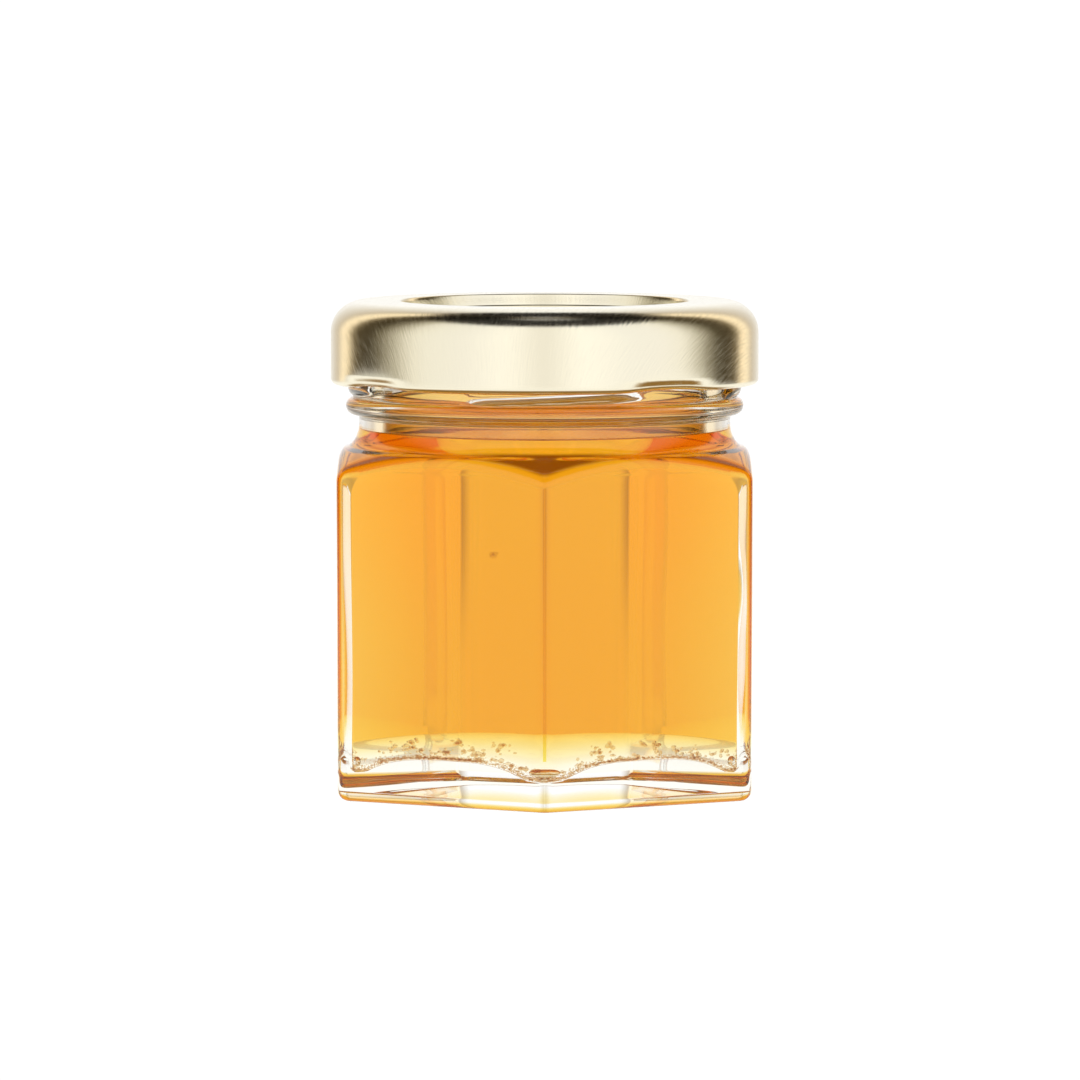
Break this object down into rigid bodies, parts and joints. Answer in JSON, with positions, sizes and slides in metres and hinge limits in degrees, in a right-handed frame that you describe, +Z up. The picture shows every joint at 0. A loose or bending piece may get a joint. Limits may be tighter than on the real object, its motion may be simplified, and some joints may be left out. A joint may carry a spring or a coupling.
{
  "type": "honey jar",
  "caption": "Small hexagonal glass jar filled with clear golden honey and closed by a gold twist-off lid with a sunk panel and lugs.",
  "frame": {"origin": "middle of the base, on the surface that the jar stands on", "axes": "+Z up along the axis of the neck and lid; one upright corner of the hexagonal body points to -Y, and two flat faces are square to X"},
  "size_m": [0.0456, 0.0504, 0.0525],
  "materials": {
    "glass": "clear",
    "honey": "clear golden liquid",
    "gold_tinplate": "satin brushed lacquer"
  },
  "bodies": {
    "root": {"jar": "glass", "honey": "honey", "lid": "gold_tinplate"}
  },
  "joints": []
}
